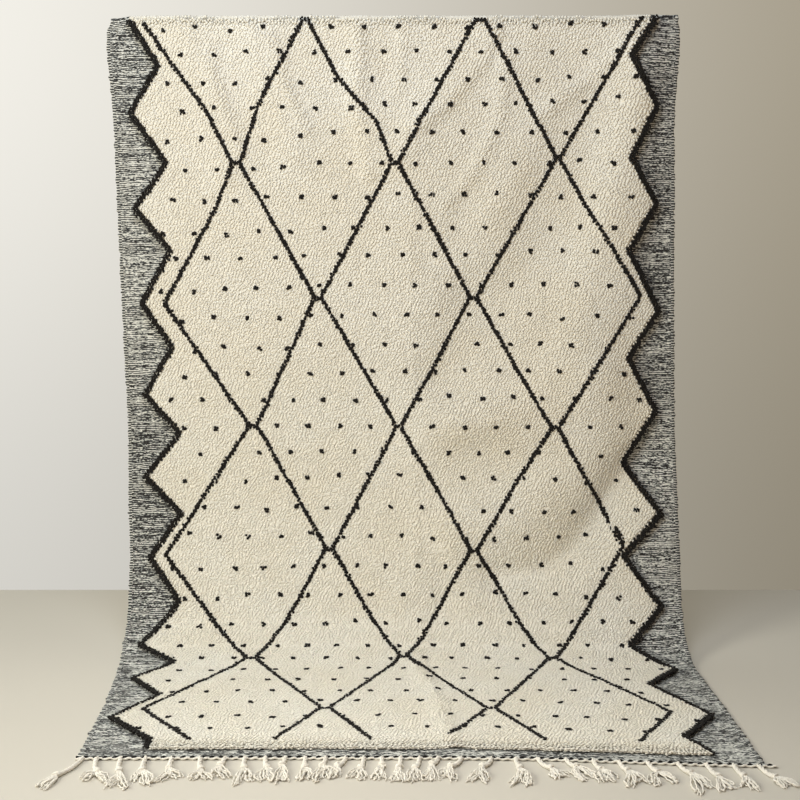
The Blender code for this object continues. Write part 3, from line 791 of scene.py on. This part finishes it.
def edge_thin(down):
    """The share of its full height that the pile keeps near its lower edge."""
    return 1 - EDGE_LOSS * ease((down - LAST_ROW + EDGE_THIN) / EDGE_THIN)


def ivory_ends(name, knots, material):
    """Two yarn ends for each knot, side by side."""
    side_of_knot = np.repeat([-1.0, 1.0], len(knots))
    across, down, wide, _ = np.tile(knots, (2, 1)).T
    count = len(across)
    across = across + side_of_knot * wide / 4 + chance.normal(0, IVORY_STRAY[0], count)
    down = down + side_of_knot * KNOT_DOWN / 4 + chance.normal(0, IVORY_STRAY[1], count)
    down = np.maximum(down, 0.0)
    length = END_LENGTH * (1 + chance.normal(0, 0.015, count))
    length *= edge_thin(down)
    lean_side = 0.10 * soft_noise(across, down, 0.09, 6) + side_of_knot * 0.08 + chance.normal(0, 0.08, count)
    lean_down = IVORY_LEAN + 0.08 * soft_noise(across, down, 0.11, 8) + chance.normal(0, 0.12, count)
    size = (wide / KNOT_ACROSS) ** 0.5 * (1 + chance.normal(0, 0.10, count))
    return plant_ends(name, across, down, length, END_RADIUS[0] * size, END_RADIUS[1] * size,
                      (lean_side, lean_down), 4, material)


def edge_ends(name, knots, material):
    """Shorter ends in front of each knot of the last row. They splay out over the band."""
    across, down, wide, _ = np.tile(knots, (2 * len(SPLAYS), 1)).T
    side_of_knot = np.repeat(np.tile([-1.0, 1.0], len(SPLAYS)), len(knots))
    share, lean = np.repeat(SPLAYS, 2 * len(knots), axis=0).T
    count = len(across)
    across = across + side_of_knot * wide / 4 + chance.normal(0, 0.8 * MM, count)
    size = (wide / KNOT_ACROSS) ** 0.5 * (1 + chance.normal(0, 0.10, count))
    length = END_LENGTH * share * edge_thin(down) * (1 + chance.normal(0, 0.15, count))
    lean_side = chance.normal(0, 0.30, count)
    return plant_ends(name, across, down, length, END_RADIUS[0] * size, END_RADIUS[1] * size,
                      (lean_side, lean * (1 + chance.normal(0, 0.30, count))), 4, material)


def black_ends(name, knots, material):
    """Each yarn of a black knot has come apart in two plies, so there are four ends."""
    side_of_knot = np.repeat([-1.0, 1.0, -1.0, 1.0], len(knots))
    part_of_knot = np.repeat([-1.0, -1.0, 1.0, 1.0], len(knots))
    across, down, wide, _ = np.tile(knots, (4, 1)).T
    count = len(across)
    across = across + side_of_knot * wide * 0.20 + chance.normal(0, BLACK_STRAY, count)
    down = np.maximum(down + part_of_knot * 2.2 * MM + chance.normal(0, BLACK_STRAY, count), 0.0)
    length = END_LENGTH * BLACK_LONG * edge_thin(down) * (1 + chance.normal(0, 0.06, count))
    lean_side = 0.08 * soft_noise(across, down, 0.09, 6) + chance.normal(0, 0.12, count)
    lean_down = BLACK_LEAN + chance.normal(0, 0.12, count)
    size = 1 + chance.normal(0, 0.08, count)
    return plant_ends(name, across, down, length, BLACK_RADIUS[0] * size * wide / KNOT_ACROSS,
                      BLACK_RADIUS[1] * size, (lean_side, lean_down), 5, material)


BACK_PAD = (0.48, 0.26)    # half a pad's width and height, as shares of its knot's
BACK_PAD_DEEP = 1.6 * MM


def knot_backs(knots, material):
    """The black knots as they show on the back: low pads, flush with the cloth's back."""
    corners = np.array([(-1, -1, 1), (1, -1, 1), (1, 1, 1), (-1, 1, 1), (0, 0, 0)], float)
    faces = np.array([(0, 1, 4), (1, 2, 4), (2, 3, 4), (3, 0, 4), (0, 3, 2), (0, 2, 1)])
    count = len(knots)
    across, down, wide, _ = (values[:, None] for values in knots.T)
    all_across = across + corners[:, 0] * wide * BACK_PAD[0]
    all_down = down + corners[:, 1] * KNOT_DOWN * BACK_PAD[1]
    lift = np.broadcast_to(corners[:, 2] * BACK_PAD_DEEP, all_across.shape)
    points = cloth.place(all_across.ravel(), all_down.ravel(), lift.ravel())
    all_faces = faces[None] + (np.arange(count) * len(corners))[:, None, None]
    piece = new_piece("black_knot_backs", points, all_faces.reshape(-1, 3), material)
    bake_map(piece, all_across.ravel(), all_down.ravel())
    return piece


def make_pile(finishes):
    knots = knot_places()
    black = knots[:, 3] > 0.5
    pieces = [add_to_rug(black_ends("pile_black", knots[black], finishes["black"])),
              add_to_rug(knot_backs(knots[black], finishes["black"]))]
    for number, course in enumerate(np.array_split(knots[~black], PILE_COURSES), start=1):
        piece = ivory_ends(f"pile_ivory_{number}", course, finishes["ivory"])
        pieces.append(add_to_rug(piece))
    last = knots[~black & (knots[:, 1] > LAST_ROW - KNOT_DOWN / 2)]
    pieces.append(add_to_rug(edge_ends("pile_edge", last, finishes["ivory"])))
    return pieces


# ---- ground ----
def flat_slab(name, columns, rows):
    """A flat slab, one unit thick, of columns by rows square cells, its top edge along y = 0."""
    bpy.ops.mesh.primitive_grid_add(x_subdivisions=columns, y_subdivisions=rows, size=1)
    slab = bpy.context.object
    slab.name = slab.data.name = name
    points = points_of(slab)
    points[:, 0] = np.round((points[:, 0] + 0.5) * columns)
    points[:, 1] = np.round((points[:, 1] - 0.5) * rows)
    set_points(slab, points)
    return slab


def thicken(slab):
    thick = slab.modifiers.new("thickness", "SOLIDIFY")
    thick.thickness = 1.0
    thick.offset = 1.0
    bpy.context.view_layer.objects.active = slab
    bpy.ops.object.modifier_apply(modifier=thick.name)


# How much darker (or lighter, below 0) the wefts of the borders are, on the way down.
Tone = namedtuple("Tone", "down left right")
TONES = table(Tone, (
    (0.00, 0.00, -0.05), (0.30, -0.04, -0.03), (0.65, -0.17, -0.01), (0.95, -0.08, -0.01),
    (1.30, 0.06, -0.16), (1.50, 0.04, -0.17), (1.75, -0.03, -0.04), (2.40, -0.01, -0.03),
))
BORDER_SHARES = (0, 0.015, 0.05, 0.10, 0.28, 0.52, 0.76, 1.0)
FIELD_COLUMNS = 32
FIELD_HALF = 0.590         # the finer rows of the borders begin this far from the middle line
PICK_ROWS = 2              # mesh rows of the borders for each pair of wefts
RIB = 0.9 * MM
SELVEDGE_RISE = 1.6 * MM
SELVEDGE_SHARE = 0.10
SELVEDGE_ROUND = 0.04      # the edge is rounded over this share of the border
RAGGED = 1.3 * MM
BAND_UNDER = 14 * MM       # the lower band's weave begins this far above the pile's lower edge
FIELD_BLEND = 0.04         # the mark of the field passes from 1 to 0 over this width


def ground_rows():
    """Distances down the rug of the ground's mesh rows."""
    turned = np.linspace(-FOLD_ARC - TURNED_BACK, -FOLD_ARC, 6)[:-1]
    arc = np.linspace(-FOLD_ARC, 0, 6)[:-1]
    rest = np.linspace(0, RUG_LENGTH, int(round(RUG_LENGTH / (2 * PICK))) + 1)
    return np.concatenate((turned, arc, rest))


def make_ground(finishes):
    downs = ground_rows()
    border = len(BORDER_SHARES) - 1
    columns = FIELD_COLUMNS + 2 * border
    slab = flat_slab("ground", columns, len(downs) - 1)
    bm = bmesh.new()
    bm.from_mesh(slab.data)
    band_row = np.searchsorted(downs, RUG_LENGTH - BAND_DEPTH)
    fold_row = np.searchsorted(downs, -FOLD_ARC)
    upright = []
    for edge in bm.edges:
        first, second = (vert.co for vert in edge.verts)
        if abs(first.x - second.x) < 0.5:
            row = -(first.y + second.y) / 2
            in_border = not border + 0.5 < first.x < columns - border - 0.5
            if in_border or row > band_row or row < fold_row:
                upright.append(edge)
    bmesh.ops.subdivide_edges(bm, edges=upright, cuts=PICK_ROWS - 1, use_grid_fill=True)
    bm.to_mesh(slab.data)
    bm.free()
    thicken(slab)
    points = points_of(slab)
    at, row, front = points[:, 0], -points[:, 1], points[:, 2] > 0.5
    down = np.interp(row, np.arange(len(downs)), downs)
    left, right = -read(OUTLINE, "down", "left", down), read(OUTLINE, "down", "right", down)
    share_left = np.interp(at, np.arange(border + 1), BORDER_SHARES)
    share_right = np.interp(columns - at, np.arange(border + 1), BORDER_SHARES)
    across = np.interp(at, (border, columns - border), (-FIELD_HALF, FIELD_HALF))
    across = np.where(at < border, left + (-FIELD_HALF - left) * share_left, across)
    across = np.where(at > columns - border, right + (FIELD_HALF - right) * share_right, across)
    share = np.minimum(share_left, share_right)
    pick = np.round(row * PICK_ROWS).astype(int)
    picked = (np.abs(across) > FIELD_HALF - MM) | (down > downs[band_row] - MM) | (down < -FOLD_ARC)
    crest = np.where(picked, np.where(pick % 2 == 1, 1.0, 0.0), 0.5)
    rolls = np.random.default_rng(31).normal(0, 1, (2, pick.max() + 2))
    ragged = np.where(at < columns / 2, rolls[0][pick // 2 + 1], -rolls[1][pick // 2 + 1])
    at_edge = 1 - ease(share / SELVEDGE_SHARE)
    across = across + np.where(picked, ragged * RAGGED * at_edge, 0.0)
    round_edge = SELVEDGE_RISE * at_edge * np.clip(share / SELVEDGE_ROUND, -0.5, 1.0)
    lift_front = WEAVE_THICK - RIB + RIB * crest * (1 + at_edge) + round_edge
    lift_back = np.where(picked, RIB * (1 - crest), RIB)
    lift = np.where(front, lift_front, np.where(share < 0.01, SELVEDGE_RISE, lift_back))
    set_points(slab, cloth.place(across, down, lift))
    slab.data.shade_smooth()
    slab.data.materials.append(finishes["weave"])
    pile_left, pile_right = pile_sides(down)
    beyond = np.maximum(pile_left - across, across - pile_right)
    beyond = np.maximum(beyond, np.maximum(down - PILE_TO + BAND_UNDER, -down - FOLD_ARC))
    set_value(slab, "field", np.clip(0.5 - beyond / FIELD_BLEND, 0, 1))
    tone_left, tone_right = (read(TONES, "down", side, down) for side in ("left", "right"))
    set_value(slab, "tone", np.where(across < 0, tone_left, tone_right))
    places = slab.data.attributes.new("cloth", "FLOAT_VECTOR", "POINT")
    from_edge = np.minimum(across - left, right - across)
    flat = np.stack((across, down + FOLD_ARC + TURNED_BACK, from_edge), axis=-1)
    places.data.foreach_set("vector", flat.ravel())
    bake_map(slab, across, down)
    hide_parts("rug")
    return add_to_rug(slab)


BASE_CELL = 0.017          # the slab of packed roots has square cells of about this size
BASE_WIDTH = 1.36
BASE_FROM = 8 * MM         # its first row
BASE_SHORT = 24 * MM       # how much shorter it is than the pile
BASE_INSET = 2 * MM        # how far its sides stay within the zigzag edges
BASE_RIM = 4 * MM          # how much lower it is along its rim


def make_pile_base(finishes):
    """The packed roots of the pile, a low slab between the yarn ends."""
    rows = int(round(PILE_TO / BASE_CELL))
    columns = int(round(BASE_WIDTH / BASE_CELL))
    slab = flat_slab("pile_roots", columns, rows)
    thicken(slab)
    points = points_of(slab)
    down = BASE_FROM - points[:, 1] / rows * (PILE_TO - BASE_SHORT)
    left, right = pile_sides(down)
    left, right = left + BASE_INSET, right - BASE_INSET
    across = left + (right - left) * points[:, 0] / columns
    from_side = np.minimum(points[:, 0], columns - points[:, 0])
    from_end = np.minimum(-points[:, 1], rows + points[:, 1])
    top = BASE_LIFT - np.where(np.minimum(from_side, from_end) < 0.5, BASE_RIM, 0.0)
    top = ROOT_LIFT + (top - ROOT_LIFT) * edge_thin(down)
    lift = np.where(points[:, 2] > 0.5, top, WEAVE_THICK - 2 * MM)
    set_points(slab, cloth.place(across, down, lift))
    slab.data.shade_smooth()
    slab.data.materials.append(finishes["ivory"])
    bake_map(slab, across, down)
    return add_to_rug(slab)


# ---- fringe ----
def yarns(name, runs, radius, sides_level, material):
    """Round yarns along runs of (points, width share at each point), as one mesh."""
    curve = bpy.data.curves.new(name, "CURVE")
    curve.dimensions = "3D"
    curve.bevel_depth = radius
    curve.bevel_resolution = sides_level
    curve.use_fill_caps = True
    for points, widths in runs:
        spline = curve.splines.new("POLY")
        spline.points.add(len(points) - 1)
        spline.points.foreach_set("co", np.column_stack((points, np.ones(len(points)))).ravel())
        spline.points.foreach_set("radius", np.asarray(widths, float))
    holder = bpy.data.objects.new(name, curve)
    bpy.context.scene.collection.objects.link(holder)
    bpy.ops.object.select_all(action="DESELECT")
    holder.select_set(True)
    bpy.context.view_layer.objects.active = holder
    bpy.ops.object.convert(target="MESH")
    piece = bpy.context.object
    piece.name = piece.data.name = name
    piece.data.shade_smooth()
    piece.data.materials.clear()
    piece.data.materials.append(material)
    return piece


def smooth_run(corners, count):
    """A smooth curve through a few corner points, in `count` even steps."""
    corners = np.asarray(corners, float)
    padded = np.vstack((2 * corners[0] - corners[1], corners, 2 * corners[-1] - corners[-2]))
    steps = np.linspace(0, len(corners) - 1 - 1e-9, count)
    base = steps.astype(int)
    share = (steps - base)[:, None]
    before, here, after, beyond = (padded[base + number] for number in range(4))
    return 0.5 * (2 * here + (after - before) * share
                  + (2 * before - 5 * here + 4 * after - beyond) * share ** 2
                  + (3 * here - before - 3 * after + beyond) * share ** 3)


def plied(line, apart, turns, phase, squat):
    """One ply that winds round a line lying on the floor, squat times as high as it is wide."""
    heading = np.gradient(line, axis=0)
    heading[:, 2] = 0
    heading /= np.linalg.norm(heading, axis=1, keepdims=True) + 1e-12
    side = np.stack((-heading[:, 1], heading[:, 0], np.zeros(len(line))), axis=-1)
    angle = phase + np.linspace(0, 1, len(line)) * turns * 2 * math.pi
    wound = line + side * (apart * np.cos(angle))[:, None]
    wound[:, 2] += apart * squat * np.sin(angle)
    return wound


STEM_PLY = 3.2 * MM
STEM_APART = 2.7 * MM      # from a stem's middle line to the middle of each ply
STEM_TURN = 0.034          # a ply winds round once in this length
KNOT_TURNS = 1.7
KNOT_HALF = 6.0 * MM       # half the width of the knot's turns
BEND = 4.5 * MM            # how far a group bows to one side, in the usual case
TAIL_YARN = 1.9 * MM
GROUP_TAILS = (7, 8)       # loose tails in the left and right group of a bunch
FAN = 7 * MM               # half the width of a group at its tips
LOOPED = 0.25              # share of the tails whose ends curl back
CRIMP = 1.5 * MM
CRIMP_LENGTH = 15 * MM
EDGE_PITCH = 21.6 * MM     # one turn of the twined edge
EDGE_IVORY = 2.6 * MM
EDGE_BLACK = 2.3 * MM


def edge_point(across):
    """The middle of the twined edge, beyond the cloth's own edge."""
    across = np.asarray(across, float)
    point = cloth.place(across, np.full(across.shape, RUG_LENGTH), 0.0)
    point[..., 1] -= EDGE_WIDTH / 2
    return point


def loose_tail(knot, run, reach, spread, bend):
    """One crimped yarn from the knot to near the end of its group. Spread is -1 to 1."""
    side = np.array((-reach[1], reach[0], 0.0)) / np.linalg.norm(reach)
    start = knot - run * 3 * MM + side * spread * 3 * MM
    tip = knot + reach * (chance.uniform(0.74, 1.06) - 0.06 * spread ** 2)
    tip = tip + side * (spread * FAN + chance.normal(0, 3 * MM))
    sway = spread * 2.5 * MM + bend + chance.normal(0, 2.0 * MM)
    upper = start * 0.66 + tip * 0.34 + side * sway + run * 2 * MM
    sway = spread * 3.5 * MM + bend * 0.6 + chance.normal(0, 3.0 * MM)
    lower = start * 0.28 + tip * 0.72 + side * sway
    corners = [start, upper, lower, tip]
    if chance.random() < LOOPED:
        corners.append(tip - reach * 0.20 + side * chance.choice((-1, 1)) * 6 * MM)
    line = smooth_run(corners, 19)
    length = np.linalg.norm(tip - start)
    wave = np.linspace(0, length / CRIMP_LENGTH * 2 * math.pi, len(line)) + chance.uniform(0, 2 * math.pi)
    fade = np.linspace(0.2, 1.0, len(line))
    line += side * (np.sin(wave) * CRIMP * fade)[:, None]
    bow = np.sin(np.linspace(0, math.pi, len(line)))
    line[:, 2] = np.linspace(6.0 * MM, 2.2 * MM, len(line)) + chance.uniform(0, 5.0 * MM) * bow
    line[:, 2] += np.cos(wave * 1.3) * 0.4 * MM
    return line, np.linspace(1.15, 0.85, len(line))


def bunch_runs(bunch):
    """The plies of one bunch: its stem, the turns of its knot, and its loose tails."""
    root = edge_point(bunch.root) + np.array((0, 0, 3.2 * MM))
    knot = root + np.array((bunch.knot_side, -bunch.knot_out, 1.5 * MM))
    bow = (root + knot) / 2 + np.array((-bunch.knot_side * 0.15, -0.004, 0.0))
    line = smooth_run([root + np.array((0, 0.003, 0)), bow, knot], 18)
    line[:, 2] = STEM_PLY + 1.6 * MM
    phase = chance.uniform(0, 2 * math.pi)
    stem = []
    for number in range(3):
        wound = plied(line, STEM_APART, bunch.knot_out / STEM_TURN, phase + number * 2 * math.pi / 3, 0.7)
        stem.append((wound, np.linspace(0.92, 1.0, len(wound))))
    run = knot - root
    run[2] = 0
    run /= np.linalg.norm(run)
    side = np.array((-run[1], run[0], 0.0))
    turns = np.linspace(0, KNOT_TURNS * 2 * math.pi, 20) + chance.uniform(0, 2 * math.pi)
    tilt = chance.uniform(-0.5, 0.5)
    coil = knot - run * KNOT_LENGTH * 0.5 + np.outer(np.linspace(-0.34, 0.34, 20) * KNOT_LENGTH, run)
    coil = coil + np.outer(np.cos(turns) * KNOT_HALF, side) + np.outer(np.cos(turns) * tilt * 5 * MM, run)
    coil[:, 2] = 6.4 * MM + np.sin(turns) * 3.1 * MM
    knots = [(coil, np.full(20, 1.05))]
    left = np.array((bunch.left_side, -bunch.left_out, 0.0))
    right = np.array((bunch.right_side, -bunch.right_out, 0.0))
    tails = []
    for reach, count in ((left, GROUP_TAILS[0]), (right, GROUP_TAILS[1])):
        reach = reach * chance.uniform(0.95, 1.05)
        bend = chance.normal(0, BEND)
        for spread in np.linspace(-1, 1, count):
            tails.append(loose_tail(knot, run, reach, spread, bend))
    return stem, knots, tails


def make_edge(name, radius, back, up, rise, material):
    """One strand of the twined edge. It rises over the other strand once in each turn."""
    across = np.arange(-EDGE_LEFT, EDGE_RIGHT, EDGE_PITCH / 8)
    line = edge_point(across)
    turns = (across + EDGE_LEFT) / EDGE_PITCH * 2 * math.pi
    line[:, 1] += back + 0.5 * rise * np.sin(turns)
    line[:, 2] = up + rise * np.cos(turns)
    return yarns(name, [(line, np.ones(len(line)))], radius, 1, material)


def make_fringe(finishes):
    stems, knots, tails = [], [], []
    for bunch in BUNCHES:
        for kept, added in zip((stems, knots, tails), bunch_runs(bunch)):
            kept += added
    pieces = [
        yarns("fringe_stems", stems, STEM_PLY, 1, finishes["cotton"]),
        yarns("fringe_knots", knots, STEM_PLY, 1, finishes["cotton"]),
        yarns("fringe_tails", tails, TAIL_YARN, 0, finishes["cotton"]),
        make_edge("edge_ivory", EDGE_IVORY, -1.4 * MM, 4.1 * MM, -1.3 * MM, finishes["cotton"]),
    ]
    for piece in pieces:
        add_to_rug(piece)
    pieces.append(make_edge("edge_black", EDGE_BLACK, 1.2 * MM, 4.9 * MM, 2.4 * MM, finishes["black"]))
    add_to_rug(pieces[-1])
    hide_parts("fringe")
    return pieces


# ---- room ----
FLOOR_WIDTH = 9.0
FLOOR_FRONT = -6.0
FLOOR_BEHIND = 0.42        # how far the floor runs on behind the hanging cloth


def make_floor():
    bpy.ops.mesh.primitive_plane_add(size=1)
    floor = bpy.context.object
    floor.name = "floor"
    points = points_of(floor)
    points[:, 0] *= FLOOR_WIDTH
    points[:, 1] = np.where(points[:, 1] > 0, cloth.shift_back + FLOOR_BEHIND, FLOOR_FRONT)
    set_points(floor, points)
    floor.data.materials.append(plain_floor())


Light = namedtuple("Light", "name size power place aim colour spread")
LIGHTS = [
    Light("softbox", 1.8, 125, (-3.6, -2.0, 2.2), (0.0, 0.3, 0.9), (1.0, 0.985, 0.88), 180),
    Light("overhead", 1.4, 21, (-0.3, -0.8, 3.0), (-0.1, -0.3, 0.0), (0.91, 1.03, 1.20), 180),
    Light("floor light", 1.0, 3.5, (-0.3, -0.75, 3.0), (-0.1, -0.50, 0.0), (1.0, 0.90, 0.78), 60),
]


def add_light(light):
    disk = bpy.data.lights.new(light.name, "AREA")
    disk.shape = "DISK"
    disk.size = light.size
    disk.energy = light.power
    disk.color = light.colour
    disk.spread = math.radians(light.spread)
    lamp = bpy.data.objects.new(light.name, disk)
    bpy.context.scene.collection.objects.link(lamp)
    lamp.location = light.place
    direction = np.array(light.aim) - np.array(light.place)
    lamp.rotation_mode = "QUATERNION"
    lamp.rotation_quaternion = Vector(direction).to_track_quat("-Z", "Y")


LEFT_SKY = (0.87, 0.85, 0.79)
RIGHT_SKY = (0.33, 0.29, 0.215)
FRONT_LOW_SKY = (0.62, 0.44, 0.30)
FRONT_HIGH_SKY = (0.01, 0.01, 0.01)


def make_world():
    """A plain backdrop, bright at the left, dimmer to the right and below, and dim in front."""
    world = bpy.data.worlds.new("studio")
    sky = Board(world)
    where = sky.node("TexCoord", out="Generated")

    def along(axis, low, high, to_low=0.0, to_high=1.0):
        part = sky.node("SeparateXYZ", {"Vector": where}, out=axis)
        ends = {"From Min": low, "From Max": high, "To Min": to_low, "To Max": to_high}
        return sky.node("MapRange", {"Value": part, **ends}, interpolation_type="SMOOTHSTEP")

    back = sky.mix(along("X", -0.45, 0.45), LEFT_SKY, RIGHT_SKY)
    front = sky.mix(along("Z", 0.10, 0.45), FRONT_LOW_SKY, FRONT_HIGH_SKY)
    background = sky.nodes["Background"]
    sky.feed(background.inputs["Color"], sky.mix(along("Y", -0.3, 0.4), front, back))
    sky.feed(background.inputs["Strength"], along("Z", -0.33, 0.20, 0.78, 1.08))
    bpy.context.scene.world = world


def make_room():
    make_world()
    bpy.context.scene.view_settings.view_transform = "Standard"
    make_floor()
    for light in LIGHTS:
        add_light(light)


CAMERA_PLACE = (-0.0086, -2.9096, 1.18)
CAMERA_TILT = 81.8         # degrees up from looking straight down
FOCAL_LENGTH = 54.675


def make_camera():
    lens = bpy.data.cameras.new("camera")
    lens.lens = FOCAL_LENGTH
    lens.sensor_width = 36.0
    camera = bpy.data.objects.new("camera", lens)
    bpy.context.scene.collection.objects.link(camera)
    camera.location = CAMERA_PLACE
    camera.rotation_euler = (math.radians(CAMERA_TILT), 0, 0)
    bpy.context.scene.camera = camera


def main():
    finishes = {"ivory": ivory_wool(), "black": black_wool(), "weave": flat_weave(), "cotton": warp_cotton()}
    make_room()
    make_camera()
    ground = make_ground(finishes)
    pieces = [make_pile_base(finishes)]
    pieces += make_pile(finishes) + make_fringe(finishes)


main()
